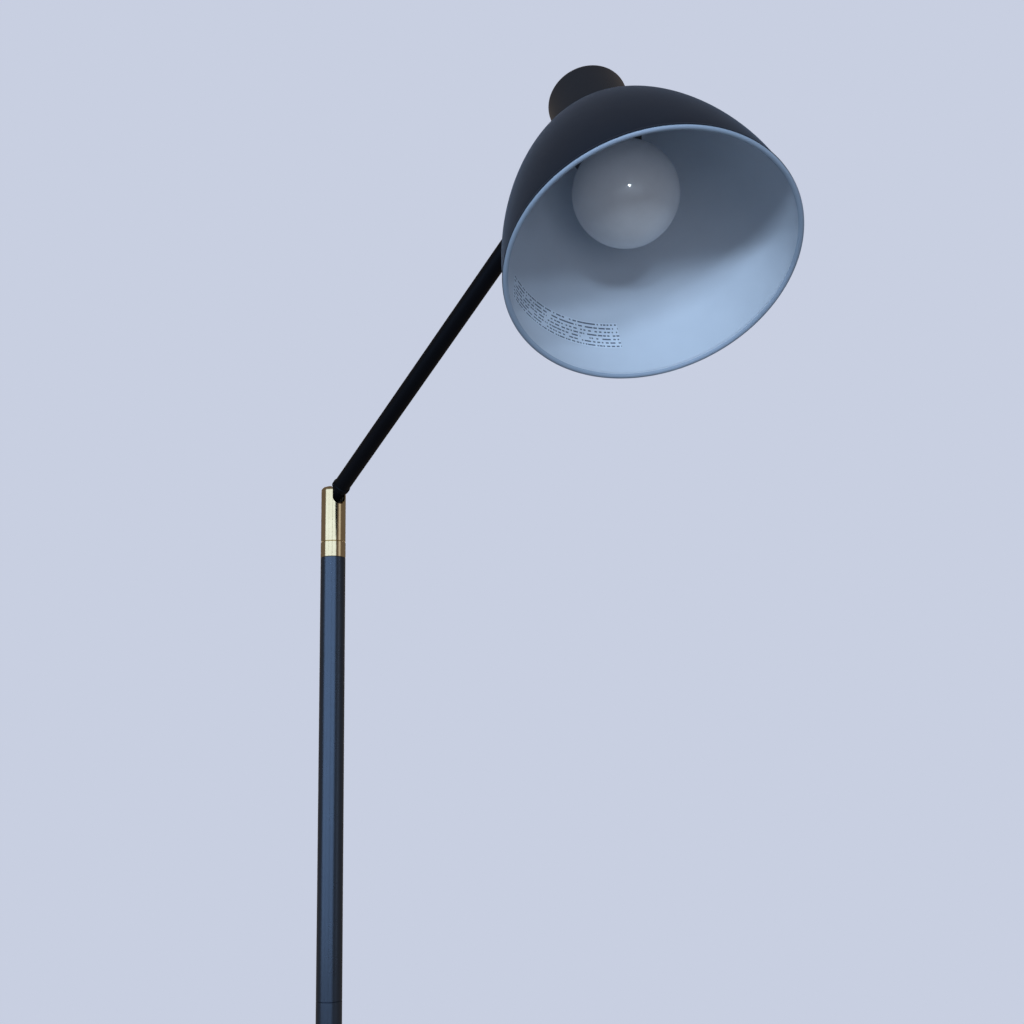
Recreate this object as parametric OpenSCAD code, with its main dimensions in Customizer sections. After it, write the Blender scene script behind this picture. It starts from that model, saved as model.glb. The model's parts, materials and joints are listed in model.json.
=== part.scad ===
// Adjustable arm floor lamp.
// Z is up and the origin is the centre of the base, on the floor.
// The arm leans towards +X. Its elbow hinge is parallel to Y.
// The shade turns about the arm's own axis.

/* [Base and pole] */
// Diameter of the base cover
base_dia = 254; // [230:2:280]
// Height of the base cover at its centre
base_height = 19; // [18.5:0.5:24]
// Diameter of the felt pad under the base
pad_dia = 242; // [200:2:244]
// Diameter of the pole tube
pole_dia = 19.05; // [18.5:0.05:19.5]
// Wall of the pole tube
pole_wall = 1.2; // [1:0.1:1.4]
// Length of one pole section
section_len = 326; // [200:1:400]

/* [Swivel head] */
// Diameter of the brass collar on top of the pole
collar_dia = 19.2; // [18.8:0.1:20]
// Length of the brass collar
collar_len = 12; // [10:0.5:20]
// Diameter of the brass head
head_dia = 19; // [18:0.1:19.5]
// Elbow hinge above the bottom of the brass collar
pivot_rise = 48; // [46:0.5:60]
// Top of the head above the elbow hinge
ear_rise = 7.5; // [7:0.1:8.5]
// Width of the slot that the arm tilts in
slot_w = 11; // [10.9:0.1:11.4]
// Bottom of the slot below the elbow hinge
slot_drop = 6.8; // [6:0.1:8]

/* [Arm] */
// Diameter of the arm tube
arm_dia = 12.7; // [12.5:0.05:12.9]
// Elbow hinge to the axis of the shade
arm_reach = 364.7; // [250:1:450]
// Lean of the arm from vertical
arm_lean = 59.4; // [0:1:88]

/* [Shade] */
// Diameter over the rolled rim
rim_dia = 170.4; // [160:1:180]
// Height at which the dome's outline would close, above the rim
dome_peak = 136; // [134:0.5:140]
// Roundness of the dome: 1 is a cone, 2 is an ellipse
dome_power = 1.643; // [1.6:0.01:1.7]
// Thickness of the sheet metal
shade_wall = 0.8; // [0.7:0.1:1]
// Diameter of the socket cup
cup_dia = 50.9; // [50.5:0.1:52]
// Top of the socket cup above the rim
cup_top = 169.2; // [169:0.1:172]
// Axis of the arm above the rim
arm_height = 143.6; // [142:0.1:145]
// Turn of the shade about the arm
shade_turn = 10.4; // [-90:1:90]
// Lower edge of the label above the rim
label_low = 22; // [10:1:30]
// Upper edge of the label above the rim
label_high = 40; // [32:1:60]
// Angle at which the label starts, about the shade's axis
label_turn = 153; // [0:1:360]
// Angle that the label covers
label_span = 62; // [20:1:90]

/* [Bulb] */
// Diameter of the bulb
bulb_dia = 63; // [58:0.5:64]
// Centre of the bulb above the rim
bulb_height = 64.9; // [60:0.1:68]

/* [Hidden] */
$fn = 96;
eps = 0.05;

// Stand levels
section_count = 4;
pole_r = pole_dia / 2;
pole_bore_r = pole_r - pole_wall;
pole_top = base_height + section_count * section_len;
collar_top = pole_top + collar_len;
pivot_z = pole_top + pivot_rise;
fit_gap = 0.03;
run_gap = 0.05;
body_gap = 0.3;

// Base
base_r = base_dia / 2;
cover_wall = 1.5;
cover_foot = 0.8;
cover_edge_r = 9;
cover_side_z = 7;
pad_t = 2.5;
weight_r = 118;
weight_top = 14;
boss_r = 13.5;
nipple_r = 5;
nipple_bore_r = 3.25;
nut_seat_z = 12.1;
washer_t = 1.2;
nut_t = 3.5;
lead_z = 5;
lead_r = 2;
lead_bend_r = 4;

// Swivel between pole and head
stem_r = 5;
stem_bore_r = 2.9;
head_r = head_dia / 2;
head_foot = collar_top + body_gap;
head_bore_r = 7;
bearing_len = 6;
head_bore_top = pivot_z - 20;
head_edge_r = 3;
slot_r = slot_w / 2;
slot_end_z = pivot_z - slot_drop + slot_r;

// Elbow
pin_r = 2.5;
screw_head_r = 3.6;
screw_seat_y = 7.3;
screw_head_y = 8.6;
friction_t = 0.45;
washer_seat_r = 4.9;
fitting_r = 5.2;
fitting_flat = 4.9;
fitting_cone = 9.2;
fitting_shoulder = 11.4;
arm_collar_r = 7;
arm_collar_len = 4;
arm_r = arm_dia / 2;
arm_bore_r = arm_r - 1;
tube_start = 15;
spigot_len = 20;

// Joint between arm and shade: x along the arm, 0 at the axis of the cup
stud_r = 4;
stud_bore_r = 2;
stud_in = -20.6;
stud_out = -72;
bush_face = -44;
boss_face = -43.1;
cup_lead_r = 1.5;

// Shade, with z = 0 at the rim
bead_r = 1.7;
label_gap = 0.08;
label_t = 0.15;
dome_r = rim_dia / 2 - 1;
cup_r = cup_dia / 2;
cup_wall = 1.2;
cup_edge_r = 4;
cup_foot = 124.4;
flange_top = cup_foot - 0.1;
flange_hole_r = 19.3;
holder_r = 19;
holder_neck_r = 16.5;
holder_bore_r = 14.2;
holder_foot = 108;
holder_top = 156;
cup_roof = cup_top - cup_wall;
bracket_t = 1.2;
leg_y = 13;
foot_y = 20.5;
bracket_screw_y = 17;
knob_r = 7;
knob_foot = cup_top + 0.4;
knob_top = cup_top + 9.8;

// Bulb
bulb_r = bulb_dia / 2;
bulb_wall = 1;
bulb_neck_r = 13.6;
bulb_cap_r = 13.1;
bulb_blend = 38;

// Places a child that is drawn along +Z from the elbow hinge onto the arm
module on_arm() {
  translate([0, 0, pivot_z]) rotate([0, arm_lean, 0]) children();
}

// Places a child drawn about the shade's axis, z = 0 at the rim, arm arriving along +X
module on_shade() {
  on_arm()
    translate([0, 0, arm_reach])
      rotate([0, 0, -shade_turn])
        rotate([0, -90, 0])
          translate([0, 0, -arm_height])
            children();
}

// Round bar along X at the height of the arm, from x0 to x1
module stud_bar(r, x0, x1) {
  translate([x0, 0, arm_height]) rotate([0, 90, 0]) cylinder(r = r, h = x1 - x0);
}

module ring(r_out, r_in, h) {
  difference() {
    cylinder(r = r_out, h = h);
    translate([0, 0, -1]) cylinder(r = r_in, h = h + 2);
  }
}

module hex(across, h) {
  cylinder(r = across / 2 / cos(30), h = h, $fn = 6);
}

// Tube or collar with a small chamfer on each outer edge
module chamfered_ring(r_out, r_in, h, c) {
  rotate_extrude()
    polygon([[r_in, 0], [r_out - c, 0], [r_out, c], [r_out, h - c], [r_out - c, h], [r_in, h]]);
}

// ---------- Base ----------

module base_pad() {
  color("#2b2a2a") cylinder(d = pad_dia, h = pad_t, $fn = 128);
}

module base_weight() {
  color("#4a4a4c") difference() {
    union() {
      translate([0, 0, pad_t]) rotate_extrude($fn = 128)
        polygon([[0, 0], [weight_r, 0], [weight_r, weight_top - pad_t - 2],
                 [weight_r - 2, weight_top - pad_t], [0, weight_top - pad_t]]);
      cylinder_between(boss_r, weight_top - 1, base_height - cover_wall);
    }
    translate([0, 0, -1]) cylinder(r = nipple_r + 0.2, h = 30);
    cylinder_between(16, pad_t - 1, nut_seat_z);
    translate([-weight_r - 2, -2.75, pad_t - 1]) cube([weight_r - 8, 5.5, 6]);
  }
}

module cylinder_between(r, z0, z1) {
  translate([0, 0, z0]) cylinder(r = r, h = z1 - z0);
}

// Outline of the cover, moved inwards by t
function cover_line(t) = concat(
  [[base_r - t, cover_foot]],
  [for (a = [0:15:90])
    [base_r - cover_edge_r + (cover_edge_r - t) * cos(a),
     cover_side_z + (cover_edge_r - t) * sin(a)]],
  [[14, base_height - t], [nipple_r + 0.2, base_height - t]]
);

module base_cover() {
  inner = cover_line(cover_wall);
  color("#15171b") difference() {
    rotate_extrude($fn = 128)
      polygon(concat(cover_line(0), [for (i = [len(inner) - 1:-1:0]) inner[i]]));
    translate([-base_r - 2, 0, lead_z]) rotate([0, 90, 0]) cylinder(r = 3.6, h = 8);
  }
}

module base_washer() {
  color("#9a9c9f") translate([0, 0, nut_seat_z - washer_t]) ring(14, nipple_r + 0.1, washer_t);
}

module base_nut() {
  z = nut_seat_z - washer_t - nut_t;
  color("#8f9194") difference() {
    translate([0, 0, z]) hex(17, nut_t);
    translate([0, 0, z - 1]) cylinder(r = nipple_r + fit_gap, h = nut_t + 2);
  }
}

module base_nipple() {
  z = nut_seat_z - washer_t - nut_t;
  color("#a2a4a7") translate([0, 0, z]) ring(nipple_r, nipple_bore_r, base_height + 16 - z);
}

module cord_bush() {
  neck_r = 3.5;
  bore_r = 2.4;
  color("#101012") translate([-base_r - 1.6, 0, lead_z]) rotate([0, 90, 0]) difference() {
    union() {
      cylinder(r = 4.6, h = 1.5);
      cylinder(r = neck_r, h = 6.5);
      translate([0, 0, 3.6]) cylinder(r1 = 4.2, r2 = neck_r, h = 2.9);
    }
    translate([0, 0, -1]) cylinder(r = bore_r, h = 9);
  }
}

// ---------- Pole ----------

module pole_foot_collar() {
  outer = 15;
  edge = 2;
  color("#15171b") translate([0, 0, base_height]) rotate_extrude()
    polygon(concat([[pole_r + fit_gap, 0], [outer, 0]],
      [for (a = [0:15:90]) [outer - edge + edge * cos(a), 10 + edge * sin(a)]],
      [[pole_r + fit_gap, 12]]));
}

module pole_foot_insert() {
  color("#9a9c9f") translate([0, 0, base_height])
    ring(pole_bore_r - fit_gap, nipple_r + fit_gap, 22);
}

module pole_section(i) {
  color("#15171b") translate([0, 0, base_height + (i - 1) * section_len])
    chamfered_ring(pole_r, pole_bore_r, section_len, 0.35);
}

module pole_joiner(i) {
  half = 18;
  color("#9a9c9f") translate([0, 0, base_height + i * section_len - half])
    ring(pole_bore_r - fit_gap, 4, 2 * half);
}

// ---------- Swivel at the top of the pole ----------

module swivel_collar() {
  color("#b89a5a") difference() {
    union() {
      translate([0, 0, pole_top]) chamfered_ring(collar_dia / 2, stem_r, collar_len, 0.3);
      translate([0, 0, pole_top - 20]) cylinder(r = pole_bore_r - fit_gap, h = 20.5);
    }
    translate([0, 0, pole_top - 21]) cylinder(r = stem_r + fit_gap, h = collar_len + 22);
  }
}

module swivel_stem() {
  stem_foot = pole_top - 14;
  color("#a2a4a7") translate([0, 0, stem_foot])
    ring(stem_r, stem_bore_r, head_foot + bearing_len + 8 - stem_foot);
}

module stem_wave_washer() {
  color("#8f9194") translate([0, 0, head_foot + bearing_len + 0.2])
    ring(6.6, stem_r + 0.1, 0.8);
}

module stem_nut() {
  z = head_foot + bearing_len + 1.05;
  color("#8f9194") difference() {
    translate([0, 0, z]) hex(11.4, 4.5);
    translate([0, 0, z - 1]) cylinder(r = stem_r + fit_gap, h = 7);
  }
}

// Lead from the cord inlet, under the weight and up the pole
module lead_stand() {
  start_x = -base_r + 5.4;
  color("#1d1d1f") {
    translate([start_x, 0, lead_z]) rotate([0, 90, 0])
      cylinder(r = lead_r, h = -lead_bend_r - start_x);
    translate([-lead_bend_r, 0, lead_z + lead_bend_r]) rotate([90, 0, 0])
      rotate([0, 0, -90]) rotate_extrude(angle = 90)
        translate([lead_bend_r, 0]) circle(r = lead_r);
    translate([0, 0, lead_z + lead_bend_r])
      cylinder(r = lead_r, h = head_foot + bearing_len + 8 - lead_z - lead_bend_r);
  }
}

// ---------- Head ----------

module swivel_head() {
  top = pivot_z + ear_rise;
  color("#c0a264") difference() {
    rotate_extrude()
      polygon(concat([[0, head_foot], [head_r - 0.3, head_foot], [head_r, head_foot + 0.3]],
        [for (a = [0:15:90]) [head_r - head_edge_r + head_edge_r * cos(a),
                              top - head_edge_r + head_edge_r * sin(a)]],
        [[0, top]]));
    cylinder_between(head_bore_r, head_foot - 1, head_bore_top);
    cylinder_between(2.8, head_bore_top - 1, pivot_z);
    translate([0, 0, slot_end_z]) rotate([0, 90, 0]) cylinder(r = slot_r, h = 40, center = true);
    translate([-20, -slot_r, slot_end_z]) cube([40, slot_w, 20]);
    translate([0, -slot_r, pivot_z]) rotate([-90, 0, 0]) cylinder(r = washer_seat_r, h = slot_w);
    translate([0, -screw_head_y, pivot_z]) rotate([-90, 0, 0])
      cylinder(r = pin_r + fit_gap, h = 2 * screw_head_y);
    translate([0, screw_seat_y, pivot_z]) rotate([-90, 0, 0])
      cylinder(r = screw_head_r + fit_gap, h = 6);
  }
}

module head_bearing_ring() {
  color("#9c7a3c") translate([0, 0, head_foot])
    ring(head_bore_r - fit_gap, stem_r + run_gap, bearing_len);
}

// Shoulder screw, driven in from the +Y ear and flush with it
module elbow_screw() {
  color("#8c6f3a") translate([0, 0, pivot_z]) rotate([-90, 0, 0]) difference() {
    union() {
      translate([0, 0, -screw_head_y + 0.1]) cylinder(r = pin_r, h = screw_seat_y + screw_head_y);
      translate([0, 0, screw_seat_y + eps]) cylinder(r = screw_head_r, h = 1.25);
    }
    translate([-0.4, -5, screw_head_y - 0.6]) cube([0.8, 10, 2]);
  }
}

module friction_washers() {
  color("#3a3a3c") for (side = [-1, 1])
    translate([0, side * (slot_r - friction_t / 2), pivot_z]) rotate([90, 0, 0])
      translate([0, 0, -friction_t / 2])
        ring(washer_seat_r - 0.1, pin_r + run_gap, friction_t);
}

module lead_head() {
  color("#1d1d1f") cylinder_between(lead_r, head_bore_top - 0.8, pivot_z - slot_drop - 0.5);
}

// ---------- Arm ----------

module arm_fitting() {
  color("#101113") on_arm() difference() {
    union() {
      intersection() {
        union() {
          sphere(r = fitting_r);
          cylinder(r = fitting_r, h = fitting_cone + 0.8);
        }
        translate([-10, -fitting_flat, -10]) cube([20, 2 * fitting_flat, 30]);
      }
      rotate_extrude()
        polygon([[0, fitting_cone],
          [arm_collar_r - fitting_shoulder + fitting_cone, fitting_cone],
          [arm_collar_r, fitting_shoulder], [arm_collar_r, tube_start - 0.6],
          [arm_collar_r - 0.6, tube_start], [0, tube_start]]);
      translate([0, 0, tube_start - 1]) cylinder(r = arm_bore_r - fit_gap, h = spigot_len + 1);
    }
    rotate([90, 0, 0]) cylinder(r = pin_r + run_gap, h = 20, center = true);
    translate([0, 0, 4.5]) cylinder(r = 2.4, h = 60);
  }
}

module arm_tube() {
  color("#101113") on_arm() translate([0, 0, tube_start + 0.02])
    ring(arm_r, arm_bore_r, arm_reach + bush_face - arm_collar_len - tube_start - 0.04);
}

module arm_end_bush() {
  collar_foot = arm_reach + bush_face - arm_collar_len;
  color("#101113") on_arm() difference() {
    union() {
      translate([0, 0, collar_foot]) chamfered_ring(arm_collar_r, 1, arm_collar_len, 0.6);
      translate([0, 0, collar_foot - spigot_len]) cylinder(r = arm_bore_r - fit_gap, h = spigot_len + 1);
    }
    translate([0, 0, collar_foot - spigot_len - 1])
      cylinder(r = stud_r + run_gap, h = spigot_len + arm_collar_len + 2);
  }
}

module lead_arm() {
  color("#1d1d1f") on_arm() translate([0, 0, 5.5])
    cylinder(r = lead_r, h = arm_reach + stud_out - 1 - 5.5);
}

// ---------- Joint between arm and cup ----------

module swivel_stud() {
  color("#a2a4a7") on_shade() difference() {
    stud_bar(stud_r, stud_out, stud_in);
    stud_bar(stud_bore_r, stud_out - 1, stud_in + 1);
  }
}

module stud_retainer() {
  foot = bush_face - arm_collar_len - spigot_len - 0.3;
  color("#8f9194") on_shade() difference() {
    stud_bar(5.1, foot - 3, foot);
    stud_bar(stud_r + fit_gap, foot - 4, foot + 1);
  }
}

module thrust_washer() {
  color("#d8d8d2") on_shade() difference() {
    stud_bar(6.5, bush_face + 0.1, boss_face);
    stud_bar(stud_r + fit_gap, bush_face - 1, boss_face + 1);
  }
}

module cup_boss() {
  color("#15171b") on_shade() difference() {
    stud_bar(arm_collar_r, boss_face, -10);
    cylinder(r = cup_r + fit_gap, h = 300);
    stud_bar(stud_r + fit_gap, boss_face - 1, -5);
  }
}

// Curved washer that fills the hollow of the cup under the nut
module cup_saddle_washer() {
  color("#8f9194") on_shade() difference() {
    intersection() {
      stud_bar(6.4, -30, -23.2);
      cylinder(r = cup_r - cup_wall - fit_gap, h = 300);
    }
    stud_bar(stud_r + fit_gap, -31, -5);
  }
}

module stud_nut() {
  color("#8f9194") on_shade() difference() {
    translate([-23.15, 0, arm_height]) rotate([0, 90, 0]) hex(12, 2.5);
    stud_bar(stud_r + fit_gap, -30, -5);
  }
}

// ---------- Cup ----------

// Half section of the closed top of the cup, moved inwards by t
function cup_line(t) = concat(
  [[cup_r - t, cup_foot]],
  [for (a = [0:10:90])
    [cup_r - cup_edge_r + (cup_edge_r - t) * cos(a),
     cup_top - cup_edge_r + (cup_edge_r - t) * sin(a)]],
  [[0, cup_top - t]]
);

module socket_cup() {
  inner = cup_line(cup_wall);
  vents = 8;
  color("#15171b") on_shade() difference() {
    rotate_extrude()
      polygon(concat(cup_line(0), [for (i = [len(inner) - 1:-1:0]) inner[i]]));
    stud_bar(stud_r + fit_gap, -40, -5);
    cylinder_between(3.6, cup_top - 5, cup_top + 5);
    for (side = [-1, 1])
      translate([0, side * bracket_screw_y, cup_top - 5]) cylinder(r = 1.6, h = 10);
    for (k = [0:vents - 1])
      rotate([0, 0, (k + 0.5) * 360 / vents])
        translate([12.4, 0, cup_top - 5]) cylinder(r = 1.5, h = 10, $fn = 32);
  }
}

// Steel strip that hangs the lamp holder under the roof of the cup
module holder_bracket() {
  foot = holder_top + 0.1;
  color("#9a9c9f") on_shade() difference() {
    union() {
      translate([-6, -leg_y, foot]) cube([12, 2 * leg_y, bracket_t]);
      for (side = [0, 1]) mirror([0, side, 0]) {
        translate([-6, leg_y - bracket_t, foot]) cube([12, bracket_t, cup_roof - 0.05 - foot]);
        translate([-6, leg_y - bracket_t, cup_roof - 0.05 - bracket_t])
          cube([12, foot_y - leg_y + bracket_t, bracket_t]);
      }
    }
    for (side = [-1, 1]) {
      translate([0, side * bracket_screw_y, cup_roof - 10]) cylinder(r = 1.53, h = 20, $fn = 32);
      translate([0, side * 9.4, foot - 5]) cylinder(r = 1.28, h = 10, $fn = 32);
    }
  }
}

module pan_screw(shank_r, shank_len, head_r, head_h) {
  difference() {
    union() {
      translate([0, 0, -shank_len]) cylinder(r = shank_r, h = shank_len + 0.2, $fn = 32);
      cylinder(r = head_r, h = head_h, $fn = 48);
    }
    for (turn = [0, 90])
      rotate([0, 0, turn]) translate([-0.35, -head_r * 0.65, head_h - 0.8])
        cube([0.7, head_r * 1.3, 1]);
  }
}

module bracket_screws() {
  color("#1a1b1e") on_shade() for (side = [-1, 1])
    translate([0, side * bracket_screw_y, cup_top + 0.02]) pan_screw(1.5, 6, 2.7, 1.7);
}

module holder_screws() {
  color("#a2a4a7") on_shade() for (side = [-1, 1])
    translate([0, side * 9.4, holder_top + 0.1 + bracket_t + 0.02]) pan_screw(1.25, 8, 2.1, 1.4);
}

module lamp_holder() {
  color("#17181a") on_shade() difference() {
    union() {
      cylinder_between(holder_r, holder_foot, 131);
      cylinder_between(22.5, flange_top + 0.1, flange_top + 3.1);
      cylinder_between(holder_neck_r, 130, holder_top);
    }
    cylinder_between(holder_bore_r, holder_foot - 1, 145);
    cylinder_between(2, 144, holder_top + 1);
    for (side = [-1, 1])
      translate([0, side * 9.4, holder_top - 8]) cylinder(r = 1.28, h = 10, $fn = 32);
  }
}

module holder_screw_shell() {
  color("#b9b9b4") on_shade() translate([0, 0, 116]) ring(holder_bore_r - fit_gap, 13.4, 25);
}

module holder_contact() {
  color("#b89a5a") on_shade() {
    cylinder_between(4, 143.6, 144.9);
    cylinder_between(2.2, 140.1, 143.7);
  }
}

module shade_ring() {
  z = flange_top - shade_wall - 6.5;
  color("#17181a") on_shade() difference() {
    translate([0, 0, z]) chamfered_ring(23, holder_r + fit_gap, 5.9, 0.8);
    for (k = [0:17])
      rotate([0, 0, k * 20]) translate([23.6, 0, z - 1]) cylinder(r = 1.1, h = 8, $fn = 16);
  }
}

// ---------- Shade ----------

// Point of the dome outline at angle a, with the outline moved inwards by t
function dome_point(a, t) = [
  (dome_r - t) * pow(cos(a), 2 / dome_power),
  (dome_peak - t) * pow(sin(a), 2 / dome_power)
];

// Angle at which the outline, moved inwards by t, has radius r
function dome_angle(r, t) = acos(pow(r / (dome_r - t), dome_power / 2));

// Angle at which the outline, moved inwards by t, has height z
function dome_angle_at(z, t) = asin(pow(z / (dome_peak - t), dome_power / 2));

function dome_line(t, a0, a1, steps) =
  [for (i = [0:steps]) dome_point(a0 + (a1 - a0) * i / steps, t)];

module shade_shell() {
  steps = 30;
  outer = dome_line(0, 0, dome_angle(cup_r, 0), steps);
  inner = dome_line(shade_wall, dome_angle(cup_r, shade_wall), 0, steps);
  color("#1b1e23") on_shade() union() {
    rotate_extrude($fn = 128)
      polygon(concat(outer,
        [[cup_r, flange_top], [flange_hole_r, flange_top], [flange_hole_r, flange_top - shade_wall]],
        inner));
    rotate_extrude($fn = 128)
      translate([rim_dia / 2 - bead_r, 0]) circle(r = bead_r, $fn = 32);
  }
}

// Thin printed patch on the inside of the dome, without lettering
module rating_label() {
  a0 = dome_angle_at(label_low, shade_wall);
  a1 = dome_angle_at(label_high, shade_wall);
  near = dome_line(shade_wall + label_gap, a0, a1, 6);
  far = dome_line(shade_wall + label_gap + label_t, a1, a0, 6);
  color("#e8ebee") on_shade() rotate([0, 0, label_turn])
    rotate_extrude(angle = label_span) polygon(concat(near, far));
}

// ---------- Bulb ----------

// Half outline of the glass, moved inwards by t, from the tip to the neck
function bulb_line(t) = concat(
  [for (a = [-90:8:bulb_blend]) [(bulb_r - t) * cos(a), bulb_height + (bulb_r - t) * sin(a)]],
  [for (s = [1:8]) bulb_neck_point(s / 8, t)]
);
function bulb_neck_point(s, t) =
  let (x0 = (bulb_r - t) * cos(bulb_blend), z0 = (bulb_r - t) * sin(bulb_blend),
       x1 = bulb_neck_r - t, z1 = z0 + (x0 - x1) / tan(bulb_blend), z2 = 48)
  [x0 * pow(1 - s, 2) + 2 * x1 * s * (1 - s) + x1 * pow(s, 2),
   bulb_height + z0 * pow(1 - s, 2) + 2 * z1 * s * (1 - s) + z2 * pow(s, 2)];

module bulb_globe() {
  inner = bulb_line(bulb_wall);
  color("#d9d6d0") on_shade() rotate_extrude()
    polygon(concat(bulb_line(0), [for (i = [len(inner) - 1:-1:0]) inner[i]]));
}

module bulb_cap() {
  foot = bulb_height + 48.02;
  color("#b9b9b4") on_shade() difference() {
    union() {
      cylinder_between(bulb_cap_r, foot, 135);
      translate([0, 0, 135]) cylinder(r1 = bulb_cap_r, r2 = 6, h = 2.6);
      for (k = [0:4])
        translate([0, 0, foot + 5 + k * 3.4]) rotate_extrude()
          translate([bulb_cap_r - 0.8, 0]) circle(r = 1, $fn = 24);
    }
    cylinder_between(bulb_cap_r - 1, foot - 1, 133);
  }
}

module bulb_contact() {
  color("#8b8b86") on_shade() {
    translate([0, 0, 137.62]) cylinder(r1 = 5.6, r2 = 4, h = 1.2);
    cylinder_between(3, 138.8, 139.9);
  }
}

// ---------- Switch ----------

module switch_body() {
  color("#17181a") on_shade() difference() {
    union() {
      cylinder_between(6.8, 158.2, cup_roof - 0.05);
      cylinder_between(3.5, cup_roof - 1, cup_top + 2.6);
    }
    cylinder_between(1.5 + run_gap, 160, cup_top + 4);
  }
}

module switch_nut() {
  color("#8f9194") on_shade() difference() {
    translate([0, 0, cup_top + 0.02]) hex(9.6, 2);
    cylinder_between(3.5 + fit_gap, cup_top - 1, cup_top + 4);
  }
}

module switch_spindle() {
  color("#a2a4a7") on_shade() cylinder_between(1.5, 160.2, knob_top - 2);
}

module switch_knob() {
  flutes = 16;
  edge = 1.2;
  color("#15171b") on_shade() difference() {
    rotate_extrude()
      polygon(concat([[0, knob_foot], [knob_r, knob_foot]],
        [for (a = [0:15:90]) [knob_r - edge + edge * cos(a), knob_top - edge + edge * sin(a)]],
        [[0, knob_top]]));
    cylinder_between(5.9, knob_foot - 1, cup_top + 3.2);
    cylinder_between(1.5 + fit_gap, knob_foot, knob_top - 1.97);
    for (k = [0:flutes - 1])
      rotate([0, 0, k * 360 / flutes])
        translate([knob_r + 0.45, 0, knob_foot - 1]) cylinder(r = 0.8, h = 20, $fn = 16);
  }
}

// Lead through the stud, up beside the holder and into the switch
module lead_cup() {
  bend = 3;
  turn_x = -21.4;
  rise_x = turn_x + bend;
  high_z = 163;
  color("#1d1d1f") on_shade() {
    stud_bar(cup_lead_r, stud_out + 0.5, turn_x);
    translate([turn_x, 0, arm_height + bend]) rotate([90, 0, 0]) rotate([0, 0, -90])
      rotate_extrude(angle = 90) translate([bend, 0]) circle(r = cup_lead_r, $fn = 32);
    cylinder_at(rise_x, arm_height + bend, high_z - bend);
    translate([rise_x + bend, 0, high_z - bend]) rotate([90, 0, 0]) rotate([0, 0, 90])
      rotate_extrude(angle = 90) translate([bend, 0]) circle(r = cup_lead_r, $fn = 32);
    translate([rise_x + bend, 0, high_z]) rotate([0, 90, 0])
      cylinder(r = cup_lead_r, h = -6.9 - rise_x - bend);
  }
}

module cylinder_at(x, z0, z1) {
  translate([x, 0, z0]) cylinder(r = cup_lead_r, h = z1 - z0);
}

base_pad();
base_weight();
base_cover();
base_washer();
base_nut();
base_nipple();
cord_bush();
pole_foot_collar();
pole_foot_insert();
pole_section(1);  // pole_section_1
pole_section(2);  // pole_section_2
pole_section(3);  // pole_section_3
pole_section(4);  // pole_section_4
pole_joiner(1);  // pole_joiner_1
pole_joiner(2);  // pole_joiner_2
pole_joiner(3);  // pole_joiner_3
swivel_collar();
swivel_stem();
stem_wave_washer();
stem_nut();
lead_stand();
swivel_head();
head_bearing_ring();
elbow_screw();
friction_washers();
lead_head();
arm_fitting();
arm_tube();
arm_end_bush();
lead_arm();
swivel_stud();
stud_retainer();
thrust_washer();
cup_boss();
cup_saddle_washer();
stud_nut();
socket_cup();
holder_bracket();
bracket_screws();
holder_screws();
lamp_holder();
holder_screw_shell();
holder_contact();
shade_ring();
shade_shell();
rating_label();
bulb_globe();
bulb_cap();
bulb_contact();
switch_body();
switch_nut();
switch_spindle();
switch_knob();
lead_cup();
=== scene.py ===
"""Adjustable arm floor lamp: looks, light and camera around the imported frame."""
import json
import math

import bmesh
import bpy
from mathutils import Matrix, Vector


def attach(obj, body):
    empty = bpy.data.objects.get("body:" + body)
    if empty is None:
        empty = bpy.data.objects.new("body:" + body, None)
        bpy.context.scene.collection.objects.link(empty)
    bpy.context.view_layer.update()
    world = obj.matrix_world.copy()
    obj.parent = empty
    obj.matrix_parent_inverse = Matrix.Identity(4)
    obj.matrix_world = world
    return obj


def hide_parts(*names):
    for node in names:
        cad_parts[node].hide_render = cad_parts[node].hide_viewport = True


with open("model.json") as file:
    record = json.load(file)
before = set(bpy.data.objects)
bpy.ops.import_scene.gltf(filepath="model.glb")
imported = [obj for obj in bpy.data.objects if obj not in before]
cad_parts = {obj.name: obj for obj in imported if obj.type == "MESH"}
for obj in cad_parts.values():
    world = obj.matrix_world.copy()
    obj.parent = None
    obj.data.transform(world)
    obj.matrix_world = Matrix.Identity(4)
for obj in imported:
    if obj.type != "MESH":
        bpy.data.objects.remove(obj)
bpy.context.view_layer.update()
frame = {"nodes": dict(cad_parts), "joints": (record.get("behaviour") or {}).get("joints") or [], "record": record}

MM = 0.001
JOINTS = {joint["name"]: joint for joint in frame["joints"]}
PIVOT = Vector(JOINTS["elbow"]["pos_m"])
SHADE_JOINT = Vector(JOINTS["shade_turn"]["pos_m"])
ARM_AXIS = Vector(JOINTS["shade_turn"]["axis"])
SHADE_AXIS = Vector(JOINTS["switch_turn"]["axis"])

# Shade sizes, in metres from the rim upwards
ARM_HEIGHT = 143.6 * MM
RIM_R = 85.2 * MM
BEAD_R = 1.7 * MM
DOME_R = RIM_R - 1.0 * MM
DOME_PEAK = 136.0 * MM
DOME_POWER = 1.643
SHEET = 0.8 * MM
CUP_R = 25.45 * MM
FLANGE_TOP = 124.3 * MM
FLANGE_HOLE_R = 19.3 * MM
BULB_R = 31.5 * MM
BULB_CENTRE = 64.9 * MM
BULB_NECK_R = 13.6 * MM
BULB_NECK_END = 48.0 * MM
BULB_BLEND = math.radians(38)
BULB_WALL = 1.0 * MM
LABEL_LOW = 22.0 * MM
LABEL_HIGH = 40.0 * MM
LABEL_START = math.radians(153)
LABEL_SPAN = math.radians(62)
LABEL_THICKNESS = 0.15 * MM
LABEL_GAP = 0.02 * MM
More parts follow.
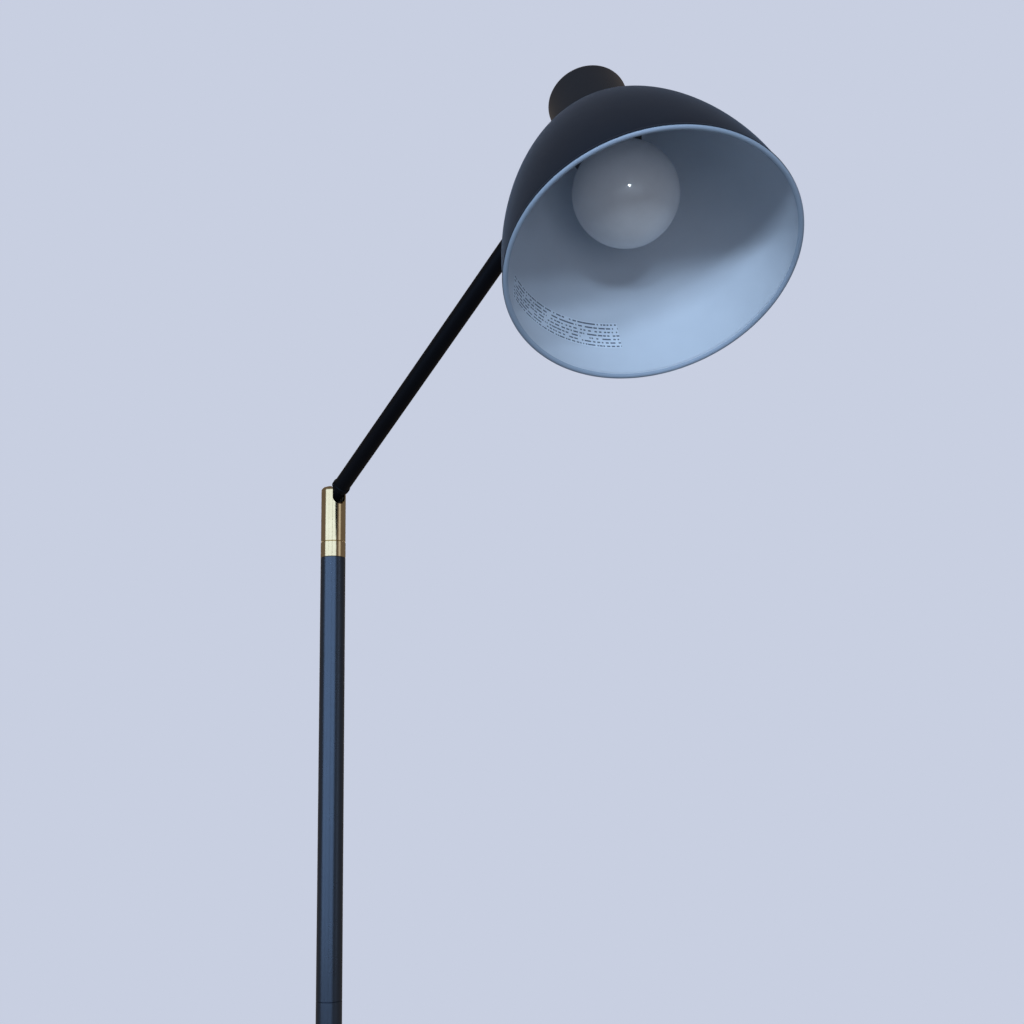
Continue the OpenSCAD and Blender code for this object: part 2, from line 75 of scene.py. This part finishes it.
# Points of a mesh closer than this are one point
SAME_POINT = 1e-7
# Edges sharper than this stay crisp under smooth shading
CREASE = math.radians(32)
LABEL_CREASE = math.radians(40)


def shade_matrix():
    """Shade's own frame: origin at the rim's centre, Z towards the cup, X along the arm."""
    z = SHADE_AXIS.normalized()
    x = (ARM_AXIS - z * ARM_AXIS.dot(z)).normalized()
    y = z.cross(x)
    basis = Matrix((x, y, z)).transposed().to_4x4()
    return Matrix.Translation(SHADE_JOINT - z * ARM_HEIGHT) @ basis


SHADE = shade_matrix()

# ---------------------------------------------------------------- node helpers


def new_material(name):
    """Node material with only a Principled shader: the material, its node tree and the shader."""
    material = bpy.data.materials.new(name)
    material.use_nodes = True
    tree = material.node_tree
    tree.nodes.clear()
    output = tree.nodes.new("ShaderNodeOutputMaterial")
    shader = tree.nodes.new("ShaderNodeBsdfPrincipled")
    tree.links.new(shader.outputs["BSDF"], output.inputs["Surface"])
    return material, tree, shader


def add(tree, kind, **values):
    """New node, with values for its inputs."""
    node = tree.nodes.new(kind)
    for name, value in values.items():
        node.inputs[name].default_value = value
    return node


def coords(tree):
    """Place on the piece, in metres."""
    return tree.nodes.new("ShaderNodeTexCoord").outputs["Object"]


def noise(tree, vector, scale, detail=3.0, roughness=0.5):
    """Cloudy pattern, 0 to 1."""
    node = add(tree, "ShaderNodeTexNoise", Scale=scale, Detail=detail, Roughness=roughness)
    tree.links.new(vector, node.inputs["Vector"])
    return node.outputs["Fac"]


def ramp(tree, value, stops):
    """Colour ramp through (position, rgb) stops."""
    node = tree.nodes.new("ShaderNodeValToRGB")
    elements = node.color_ramp.elements
    while len(elements) < len(stops):
        elements.new(0.5)
    for element, (position, colour) in zip(elements, stops):
        element.position = position
        element.color = (*colour, 1.0)
    tree.links.new(value, node.inputs["Fac"])
    return node.outputs["Color"]


def remap(tree, value, low, high):
    """Stretches 0 to 1 over low to high."""
    node = tree.nodes.new("ShaderNodeMapRange")
    node.inputs["To Min"].default_value = low
    node.inputs["To Max"].default_value = high
    tree.links.new(value, node.inputs["Value"])
    return node.outputs["Result"]


def bump(tree, shader, height, distance, strength=1.0):
    """Surface relief of the given depth."""
    node = add(tree, "ShaderNodeBump", Strength=strength, Distance=distance)
    tree.links.new(height, node.inputs["Height"])
    tree.links.new(node.outputs["Normal"], shader.inputs["Normal"])


def math_node(tree, operation, first, second=0.0):
    """Operation on two values, each a number or a socket."""
    node = tree.nodes.new("ShaderNodeMath")
    node.operation = operation
    for socket, value in zip(node.inputs, (first, second)):
        if isinstance(value, (int, float)):
            socket.default_value = value
        else:
            tree.links.new(value, socket)
    return node.outputs["Value"]


# ------------------------------------------------------------------- materials


def powder_coat(name, dark, light, rough, shine, sheen=0.0):
    """Painted metal: slight mottling, a fine orange peel, uneven gloss and a bluish shine."""
    material, tree, shader = new_material(name)
    shader.inputs["IOR"].default_value = 1.6
    shader.inputs["Specular IOR Level"].default_value = shine
    shader.inputs["Specular Tint"].default_value = (0.5, 0.68, 1.0, 1.0)
    shader.inputs["Sheen Weight"].default_value = sheen
    shader.inputs["Sheen Roughness"].default_value = 0.4
    shader.inputs["Sheen Tint"].default_value = (0.45, 0.68, 1.0, 1.0)
    place = coords(tree)
    broad = noise(tree, place, 14.0, 4.0)
    colour = ramp(tree, broad, [(0.3, dark), (0.7, light)])
    tree.links.new(colour, shader.inputs["Base Color"])
    gloss = noise(tree, place, 60.0, 3.0)
    tree.links.new(remap(tree, gloss, rough - 0.04, rough + 0.05), shader.inputs["Roughness"])
    bump(tree, shader, noise(tree, place, 1100.0, 2.0), 0.02 * MM)
    return material


def polished_brass(name):
    """Lacquered brass with faint turning marks and a little uneven tone."""
    material, tree, shader = new_material(name)
    shader.inputs["Metallic"].default_value = 1.0
    place = coords(tree)
    tone = noise(tree, place, 90.0, 5.0, 0.6)
    colour = ramp(tree, tone, [(0.25, (0.72, 0.59, 0.37)), (0.75, (0.82, 0.69, 0.45))])
    tree.links.new(colour, shader.inputs["Base Color"])
    stretch = add(tree, "ShaderNodeMapping", Scale=(60.0, 60.0, 6000.0))
    tree.links.new(place, stretch.inputs["Vector"])
    lines = noise(tree, stretch.outputs["Vector"], 1.0, 2.0)
    tree.links.new(remap(tree, lines, 0.11, 0.15), shader.inputs["Roughness"])
    bump(tree, shader, lines, 0.001 * MM, 0.05)
    return material


def plated_steel(name, colour=(0.55, 0.56, 0.58), rough=0.32):
    """Zinc or nickel plate with a fine spangle."""
    material, tree, shader = new_material(name)
    shader.inputs["Metallic"].default_value = 1.0
    place = coords(tree)
    spots = noise(tree, place, 400.0, 4.0, 0.65)
    darker = tuple(0.8 * part for part in colour)
    tree.links.new(ramp(tree, spots, [(0.35, darker), (0.65, colour)]), shader.inputs["Base Color"])
    tree.links.new(remap(tree, spots, rough - 0.08, rough + 0.1), shader.inputs["Roughness"])
    bump(tree, shader, noise(tree, place, 2500.0, 2.0), 0.005 * MM)
    return material


def cast_iron(name):
    """Bare casting with a sandy skin."""
    material, tree, shader = new_material(name)
    place = coords(tree)
    rough = noise(tree, place, 700.0, 6.0, 0.7)
    colour = ramp(tree, rough, [(0.3, (0.035, 0.034, 0.034)), (0.7, (0.09, 0.085, 0.08))])
    tree.links.new(colour, shader.inputs["Base Color"])
    shader.inputs["Metallic"].default_value = 0.6
    tree.links.new(remap(tree, rough, 0.55, 0.8), shader.inputs["Roughness"])
    bump(tree, shader, rough, 0.2 * MM)
    return material


def felt(name):
    """Pressed felt: matted fibres."""
    material, tree, shader = new_material(name)
    place = coords(tree)
    fibres = noise(tree, place, 1800.0, 8.0, 0.75)
    colour = ramp(tree, fibres, [(0.3, (0.012, 0.012, 0.013)), (0.7, (0.05, 0.049, 0.048))])
    tree.links.new(colour, shader.inputs["Base Color"])
    shader.inputs["Roughness"].default_value = 0.95
    shader.inputs["Sheen Weight"].default_value = 0.4
    bump(tree, shader, fibres, 0.25 * MM)
    return material


def moulded_plastic(name, dark, light, rough=0.45):
    """Moulded plastic or rubber with a finely sparked surface."""
    material, tree, shader = new_material(name)
    place = coords(tree)
    tone = noise(tree, place, 120.0, 3.0)
    tree.links.new(ramp(tree, tone, [(0.3, dark), (0.7, light)]), shader.inputs["Base Color"])
    tree.links.new(remap(tree, tone, rough - 0.05, rough + 0.05), shader.inputs["Roughness"])
    bump(tree, shader, noise(tree, place, 3000.0, 2.0), 0.01 * MM)
    return material


def white_enamel(name, dark, light):
    """Baked white enamel of the shade's inside."""
    material, tree, shader = new_material(name)
    place = coords(tree)
    tone = noise(tree, place, 22.0, 4.0)
    colour = ramp(tree, tone, [(0.3, dark), (0.7, light)])
    tree.links.new(colour, shader.inputs["Base Color"])
    gloss = noise(tree, place, 80.0, 3.0)
    tree.links.new(remap(tree, gloss, 0.36, 0.5), shader.inputs["Roughness"])
    bump(tree, shader, noise(tree, place, 900.0, 2.0), 0.015 * MM)
    return material


def frosted_glass(name):
    """Bulb with a white diffusing coat under clear glass."""
    material, tree, shader = new_material(name)
    place = coords(tree)
    tone = noise(tree, place, 55.0, 5.0, 0.6)
    colour = ramp(tree, tone, [(0.3, (0.77, 0.75, 0.75)), (0.7, (0.83, 0.81, 0.81))])
    tree.links.new(colour, shader.inputs["Base Color"])
    tree.links.new(remap(tree, tone, 0.5, 0.62), shader.inputs["Roughness"])
    shader.inputs["Specular IOR Level"].default_value = 0.15
    shader.inputs["Coat Weight"].default_value = 0.35
    shader.inputs["Coat Roughness"].default_value = 0.09
    return material


def label_film(name):
    """White film with rows of plain dashes where the small print would be."""
    material, tree, shader = new_material(name)
    uv = tree.nodes.new("ShaderNodeTexCoord").outputs["UV"]
    parts = tree.nodes.new("ShaderNodeSeparateXYZ")
    tree.links.new(uv, parts.inputs["Vector"])
    rows = 7.0
    dashes_per_row = 56.0
    row_shift = 7.3
    half_height = 0.2
    gap_level = 0.46
    paper = (0.66, 0.71, 0.78)
    ink = (0.11, 0.13, 0.17)
    row_place = math_node(tree, "MULTIPLY", parts.outputs["Y"], rows)
    row = math_node(tree, "FLOOR", row_place)
    within = math_node(tree, "FRACT", row_place)
    band = math_node(tree, "COMPARE", within, 0.5)
    band.node.inputs[2].default_value = half_height
    along = math_node(tree, "MULTIPLY", parts.outputs["X"], dashes_per_row)
    across = math_node(tree, "MULTIPLY", row, row_shift)
    dash_place = tree.nodes.new("ShaderNodeCombineXYZ")
    tree.links.new(along, dash_place.inputs["X"])
    tree.links.new(across, dash_place.inputs["Y"])
    dashes = noise(tree, dash_place.outputs["Vector"], 1.0, 0.0)
    printed = math_node(tree, "GREATER_THAN", dashes, gap_level)
    mask = math_node(tree, "MULTIPLY", band, printed)
    colour = ramp(tree, mask, [(0.0, paper), (1.0, ink)])
    tree.links.new(colour, shader.inputs["Base Color"])
    tree.links.new(remap(tree, mask, 0.45, 0.6), shader.inputs["Roughness"])
    return material


BLACK = powder_coat("black_powder_coat", (0.006, 0.008, 0.012), (0.009, 0.012, 0.018), 0.28, 1.2)
SHADE_BLACK = powder_coat(
    "shade_black", (0.008, 0.010, 0.016), (0.011, 0.014, 0.021), 0.46, 0.37, 0.13
)
ARM_BLACK = powder_coat("arm_black", (0.002, 0.002, 0.003), (0.003, 0.003, 0.004), 0.5, 0.15)
BRASS = polished_brass("polished_brass")
STEEL = plated_steel("zinc_plated_steel")
NICKEL = plated_steel("nickel_cap", (0.66, 0.66, 0.64), 0.25)
IRON = cast_iron("cast_iron")
FELT = felt("felt")
PLASTIC = moulded_plastic("black_plastic", (0.012, 0.012, 0.014), (0.02, 0.021, 0.024))
NYLON = moulded_plastic("white_nylon", (0.66, 0.66, 0.63), (0.72, 0.72, 0.70))
CABLE = moulded_plastic("cable_sheath", (0.018, 0.018, 0.02), (0.028, 0.028, 0.031), 0.6)
ENAMEL = white_enamel("white_enamel", (0.56, 0.60, 0.66), (0.61, 0.65, 0.71))
# Same white enamel as the inside, painted darker and bluer on the rolled rim: painted shade
RIM_ENAMEL_PAINTED_SHADE = white_enamel("rim_enamel_painted_shade", (0.29, 0.35, 0.43), (0.34, 0.40, 0.49))
BULB_GLASS = frosted_glass("frosted_bulb")
LABEL = label_film("label_film")

SLOT_MATERIALS = {
    "black_metal": BLACK,
    "arm_metal": ARM_BLACK,
    "shade_metal": SHADE_BLACK,
    "brass": BRASS,
    "steel": STEEL,
    "contact_metal": NICKEL,
    "iron": IRON,
    "felt": FELT,
    "black_plastic": PLASTIC,
    "white_plastic": NYLON,
    "cable": CABLE,
    "label_film": LABEL,
    "bulb_glass": BULB_GLASS,
}


def finish_cad_nodes():
    """Gives every CAD node its procedural material and smooth shading with crisp edges."""
    for part in frame["record"]["subparts"]:
        node = frame["nodes"][part["node"]]
        node.data.materials.clear()
        node.data.materials.append(SLOT_MATERIALS[part["material_slot"]])
        for polygon in node.data.polygons:
            polygon.use_smooth = True
            polygon.material_index = 0
        node.data.set_sharp_from_angle(angle=CREASE)


# ---------------------------------------------------------------------- pieces


def link_piece(name, shape, materials, place):
    """Ends a bmesh and puts it in the scene as an object, its points moved by the matrix place."""
    mesh = bpy.data.meshes.new(name)
    shape.to_mesh(mesh)
    shape.free()
    mesh.transform(place)
    for material in materials:
        mesh.materials.append(material)
    piece = bpy.data.objects.new(name, mesh)
    bpy.context.scene.collection.objects.link(piece)
    return piece


def ring_of(shape, r, z, steps):
    """Ring of points about Z, or one point where the radius is nil."""
    if r < SAME_POINT:
        return [shape.verts.new((0.0, 0.0, z))]
    ring = []
    for step in range(steps):
        angle = 2 * math.pi * step / steps
        ring.append(shape.verts.new((r * math.cos(angle), r * math.sin(angle), z)))
    return ring


def lathe(name, outlines, steps):
    """Spins outlines about the shade's axis. Each outline is a list of (r, z) and its material."""
    shape = bmesh.new()
    for slot, (points, _) in enumerate(outlines):
        rings = [ring_of(shape, r, z, steps) for r, z in points]
        for low, high in zip(rings, rings[1:]):
            for step in range(steps):
                after = (step + 1) % steps
                corners = [low[step % len(low)], low[after % len(low)],
                           high[after % len(high)], high[step % len(high)]]
                unique = list(dict.fromkeys(corners))
                if len(unique) > 2:
                    face = shape.faces.new(unique)
                    face.material_index = slot
                    face.smooth = True
    bmesh.ops.remove_doubles(shape, verts=shape.verts, dist=SAME_POINT)
    bmesh.ops.recalc_face_normals(shape, faces=shape.faces)
    return link_piece(name, shape, [material for _, material in outlines], SHADE)


def dome_point(angle, inset):
    """Point (r, z) of the dome's outline, a rounded cone, moved inwards by inset."""
    r = (DOME_R - inset) * math.cos(angle) ** (2 / DOME_POWER)
    z = (DOME_PEAK - inset) * math.sin(angle) ** (2 / DOME_POWER)
    return r, z


def dome_angle(r, inset):
    """Angle at which the dome's outline has the radius r."""
    return math.acos((r / (DOME_R - inset)) ** (DOME_POWER / 2))


def dome_angle_at(z, inset):
    """Angle at which the dome's outline has the height z."""
    return math.asin((z / (DOME_PEAK - inset)) ** (DOME_POWER / 2))


def dome_stretch(inset, start, stop, steps=96):
    """Points of the dome's outline from one angle to another."""
    return [dome_point(start + (stop - start) * i / steps, inset) for i in range(steps + 1)]


def arc(centre_r, centre_z, radius, start, stop, steps):
    """Points of an arc, angles in degrees."""
    points = []
    for i in range(steps + 1):
        angle = math.radians(start + (stop - start) * i / steps)
        points.append((centre_r + radius * math.cos(angle), centre_z + radius * math.sin(angle)))
    return points


def make_shade():
    """One spun sheet: black outside, white inside, and the same white over the rolled rim painted darker and bluer
    as painted shade.
    """
    bead = RIM_R - BEAD_R
    black_ends = -28
    meet_out = 48
    meet_in = 128
    lip_starts = 190
    outer_start = dome_angle_at(1.9 * MM, 0)
    inner_start = dome_angle_at(2.1 * MM, SHEET)
    outside = arc(bead, 0, BEAD_R, black_ends, meet_out, 12)
    outside += dome_stretch(0, outer_start, dome_angle(CUP_R, 0))
    outside += [(FLANGE_HOLE_R, FLANGE_TOP)]
    inside = [(FLANGE_HOLE_R, FLANGE_TOP), (FLANGE_HOLE_R, FLANGE_TOP - SHEET)]
    inside += dome_stretch(SHEET, dome_angle(CUP_R, SHEET), inner_start)
    inside += arc(bead, 0, BEAD_R, meet_in, lip_starts, 10)
    # The lip gets the inside's enamel painted darker and bluer: painted shade
    lip = arc(bead, 0, BEAD_R, lip_starts, 360 + black_ends, 24)
    outlines = [(outside, SHADE_BLACK), (inside, ENAMEL), (lip, RIM_ENAMEL_PAINTED_SHADE)]
    piece = lathe("shade", outlines, 192)
    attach(piece, "shade")
    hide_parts("shade_shell")


def make_bulb():
    """Frosted bulb with a wall, from its tip to the neck inside the cap."""
    def outline(inset):
        radius = BULB_R - inset
        points = [(0.0, BULB_CENTRE - radius)]
        points += arc(0, BULB_CENTRE, radius, -88, math.degrees(BULB_BLEND), 48)
        start_r = radius * math.cos(BULB_BLEND)
        start_z = radius * math.sin(BULB_BLEND)
        end_r = BULB_NECK_R - inset
        # A curve that leaves the ball along its tangent and runs into the straight neck
        bend_z = start_z + (start_r - end_r) / math.tan(BULB_BLEND)
        steps = 20
        for i in range(1, steps + 1):
            s = i / steps
            r = start_r * (1 - s) ** 2 + 2 * end_r * s * (1 - s) + end_r * s * s
            z = start_z * (1 - s) ** 2 + 2 * bend_z * s * (1 - s) + BULB_NECK_END * s * s
            points.append((r, BULB_CENTRE + z))
        return points

    points = outline(0) + outline(BULB_WALL)[::-1]
    piece = lathe("bulb_glass", [(points, BULB_GLASS)], 128)
    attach(piece, "shade")
    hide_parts("bulb_globe")
    return piece


def make_label():
    """Thin film that follows the inside of the dome, with UVs along and across it."""
    shape = bmesh.new()
    layer = shape.loops.layers.uv.new("UVMap")
    along, across = 48, 8
    low = dome_angle_at(LABEL_LOW, SHEET)
    high = dome_angle_at(LABEL_HIGH, SHEET)

    def grid(inset):
        rows = []
        for j in range(across + 1):
            r, z = dome_point(low + (high - low) * j / across, inset)
            row = []
            for i in range(along + 1):
                angle = LABEL_START + LABEL_SPAN * i / along
                row.append(shape.verts.new((r * math.cos(angle), r * math.sin(angle), z)))
            rows.append(row)
        return rows

    def face(corners, spots):
        made = shape.faces.new(corners)
        made.smooth = True
        for loop, (u, v) in zip(made.loops, spots):
            loop[layer].uv = (u / along, v / across)

    front = grid(SHEET + LABEL_THICKNESS)
    back = grid(SHEET + LABEL_GAP)
    for j in range(across):
        for i in range(along):
            spots = [(i, j), (i + 1, j), (i + 1, j + 1), (i, j + 1)]
            face([front[v][u] for u, v in spots], spots)
            face([back[v][u] for u, v in reversed(spots)], list(reversed(spots)))
    edge = [(i, 0) for i in range(along)] + [(along, j) for j in range(across)]
    edge += [(i, across) for i in range(along, 0, -1)] + [(0, j) for j in range(across, 0, -1)]
    for (u0, v0), (u1, v1) in zip(edge, edge[1:] + edge[:1]):
        face([front[v1][u1], front[v0][u0], back[v0][u0], back[v1][u1]], [(0, 0)] * 4)
    bmesh.ops.recalc_face_normals(shape, faces=shape.faces)
    piece = link_piece("label", shape, [LABEL], SHADE)
    piece.data.set_sharp_from_angle(angle=LABEL_CREASE)
    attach(piece, "shade")
    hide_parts("rating_label")


# ----------------------------------------------------------------------- stage


FLOOR_R = 4.0


def make_floor():
    """Plain pale floor under the lamp, which throws no light back on it."""
    material, tree, shader = new_material("floor")
    place = coords(tree)
    tone = noise(tree, place, 1.5, 3.0)
    colour = ramp(tree, tone, [(0.3, (0.55, 0.58, 0.66)), (0.7, (0.58, 0.61, 0.69))])
    tree.links.new(colour, shader.inputs["Base Color"])
    shader.inputs["Roughness"].default_value = 0.9
    shape = bmesh.new()
    bmesh.ops.create_circle(shape, cap_ends=True, segments=128, radius=FLOOR_R)
    floor = link_piece("floor", shape, [material], Matrix.Identity(4))
    floor.visible_diffuse = False
    floor.visible_glossy = False
    return floor


DAYLIGHT = (0.60, 0.78, 1.0)
SOFT_WHITE = (0.85, 0.9, 1.0)
WALL_WHITE = (0.74, 0.75, 0.78)
BACKDROP = (0.578, 0.624, 0.753)
ROOM_FILL = (0.10, 0.128, 0.172)
ROOM_SHINE = (0.155, 0.13, 0.112)
# Lamps aimed at the bulb: name, azimuth to the right of the camera, elevation above the line
# from the bulb to the camera, diameter and power. Angles in degrees, lengths in metres, watts.
KEY_DISTANCE = 2.3
KEYS = [
    ("key_left", -22, 29.3, 0.30, 20.5),
    ("key_middle", -1, 31, 0.26, 17.0),
    ("key_right", 10, 28, 0.26, 10.0),
]
# Panels aimed at the elbow: name, azimuth, elevation above level, width and height, power,
# colour, whether it lights matt surfaces and whether it shows in glossy ones.
PANEL_DISTANCE = 2.2
PANELS = [
    ("window_left", -61, 3, (1.30, 1.6), 9.8, DAYLIGHT, False, True),
    ("window_middle", -27, 3, (1.30, 1.6), 9.8, DAYLIGHT, False, True),
    ("window_right", 9, 3, (1.36, 1.6), 10.2, DAYLIGHT, False, True),
    ("wall_right", 61, 3, (0.8, 1.6), 2.4, WALL_WHITE, True, True),
    ("front_fill", 8, -13, (0.8, 0.8), 3.4, SOFT_WHITE, True, False),
    ("back_left", -152, 12, (0.9, 1.0), 6.0, SOFT_WHITE, True, False),
    ("back_top", 175, 42, (1.4, 1.0), 16.0, SOFT_WHITE, True, False),
    ("back_band", 180, 3, (0.7, 1.4), 5.0, SOFT_WHITE, False, True),
]


def make_world():
    """Pale backdrop for the camera, cool light from all round, and a warmer room in reflections."""
    world = bpy.data.worlds.new("studio")
    world.use_nodes = True
    tree = world.node_tree
    backdrop = tree.nodes["Background"]
    backdrop.inputs["Color"].default_value = (*BACKDROP, 1.0)
    fill = add(tree, "ShaderNodeBackground", Color=(*ROOM_FILL, 1.0))
    shine = add(tree, "ShaderNodeBackground", Color=(*ROOM_SHINE, 1.0))
    path = tree.nodes.new("ShaderNodeLightPath")
    below = fill.outputs[0]
    for ray, above in (("Is Glossy Ray", shine), ("Is Camera Ray", backdrop)):
        mix = tree.nodes.new("ShaderNodeMixShader")
        tree.links.new(path.outputs[ray], mix.inputs[0])
        tree.links.new(below, mix.inputs[1])
        tree.links.new(above.outputs[0], mix.inputs[2])
        below = mix.outputs[0]
    tree.links.new(below, tree.nodes["World Output"].inputs["Surface"])
    bpy.context.scene.world = world


def area_light(name, spot, aim, size, power, colour, glossy=True):
    """Light aimed at a point: round for one size, an upright rectangle for a (width, height)."""
    data = bpy.data.lights.new(name, "AREA")
    if isinstance(size, tuple):
        data.shape = "RECTANGLE"
        data.size, data.size_y = size
    else:
        data.shape = "DISK"
        data.size = size
    data.energy = power
    data.color = colour
    light = bpy.data.objects.new(name, data)
    light.location = spot
    light.rotation_euler = (Vector(aim) - Vector(spot)).to_track_quat("-Z", "Y").to_euler()
    light.visible_glossy = glossy
    light.visible_camera = False
    bpy.context.scene.collection.objects.link(light)
    return light


# Camera: place relative to the elbow in metres, the way it looks, and its lens in millimetres
CAMERA_OFFSET = Vector((0.8661, -0.5112, -0.2049))
CAMERA_TURN = math.radians(51.490)
CAMERA_PITCH = math.radians(10.835)
CAMERA_ROLL = math.radians(-0.979)
SENSOR_WIDTH = 36.0
LENS = 45.703


def make_camera():
    """Camera that looks up at the shade from below and in front of it."""
    data = bpy.data.cameras.new("camera")
    data.sensor_width = SENSOR_WIDTH
    data.lens = LENS
    data.clip_start = 0.01
    data.clip_end = 50.0
    camera = bpy.data.objects.new("camera", data)
    right = Vector((math.cos(CAMERA_TURN), math.sin(CAMERA_TURN), 0))
    ahead = Vector((-math.sin(CAMERA_TURN), math.cos(CAMERA_TURN), 0))
    up = Vector((0, 0, 1)) * math.cos(CAMERA_PITCH) - ahead * math.sin(CAMERA_PITCH)
    turned_right = right * math.cos(CAMERA_ROLL) + up * math.sin(CAMERA_ROLL)
    turned_up = up * math.cos(CAMERA_ROLL) - right * math.sin(CAMERA_ROLL)
    back = turned_right.cross(turned_up)
    basis = Matrix((turned_right, turned_up, back)).transposed().to_4x4()
    camera.matrix_world = Matrix.Translation(PIVOT + CAMERA_OFFSET) @ basis
    bpy.context.scene.collection.objects.link(camera)
    bpy.context.scene.camera = camera
    return camera


def towards(target, eye, azimuth, elevation):
    """Direction from target: azimuth to the right of the camera's, elevation from level."""
    level = eye - target
    level.z = 0
    level.normalize()
    side = Vector((0, 0, 1)).cross(level)
    across = level * math.cos(math.radians(azimuth)) + side * math.sin(math.radians(azimuth))
    rise = math.radians(elevation)
    return across * math.cos(rise) + Vector((0, 0, 1)) * math.sin(rise)


def light_only(light, piece):
    """Limits a light to one piece."""
    receivers = bpy.data.collections.new(light.name + "_receivers")
    receivers.objects.link(piece)
    light.light_linking.receiver_collection = receivers


def make_keys(eye, bulb, down):
    """High lamps that leave the upper half of the shade's inside in its own shadow."""
    for name, azimuth, elevation, size, power in KEYS:
        place = bulb + towards(bulb, eye, azimuth, down + elevation) * KEY_DISTANCE
        area_light(name, place, bulb, size, power, DAYLIGHT, glossy=False)


def make_spark(eye, bulb, down, bulb_piece):
    """Small lamp that shows only as the highlight on the bulb."""
    place = bulb + towards(bulb, eye, 8, down + 17.3) * 2.2
    spark = area_light("spark", place, bulb, 0.2, 26.0, (0.8, 0.93, 1.0))
    spark.visible_diffuse = False
    light_only(spark, bulb_piece)


def make_overhead(floor):
    """Soft light from above that falls only on the floor."""
    data = bpy.data.lights.new("overhead", "SUN")
    data.energy = 2.5
    data.angle = math.radians(40)
    data.color = (0.93, 0.96, 1.0)
    overhead = bpy.data.objects.new("overhead", data)
    overhead.rotation_euler = (math.radians(12), math.radians(10), 0)
    bpy.context.scene.collection.objects.link(overhead)
    light_only(overhead, floor)


def make_panels(eye):
    """Tall window-like panels that draw the bands on the pole and the brass, and soft fills."""
    for name, azimuth, elevation, size, power, colour, matt, shine in PANELS:
        place = PIVOT + towards(PIVOT, eye, azimuth, elevation) * PANEL_DISTANCE
        panel = area_light(name, place, PIVOT, size, power, colour, shine)
        panel.visible_diffuse = matt


def make_lights(camera, bulb_piece, floor):
    """All lights, placed about the camera's direction from the lamp."""
    eye = camera.matrix_world.translation
    bulb = SHADE @ Vector((0, 0, BULB_CENTRE))
    down = math.degrees(math.asin((eye - bulb).normalized().z))
    make_keys(eye, bulb, down)
    make_spark(eye, bulb, down, bulb_piece)
    make_overhead(floor)
    make_panels(eye)


finish_cad_nodes()
make_shade()
bulb_piece = make_bulb()
make_label()
floor = make_floor()
make_world()
camera = make_camera()
make_lights(camera, bulb_piece, floor)
bpy.context.scene.view_settings.view_transform = "Standard"
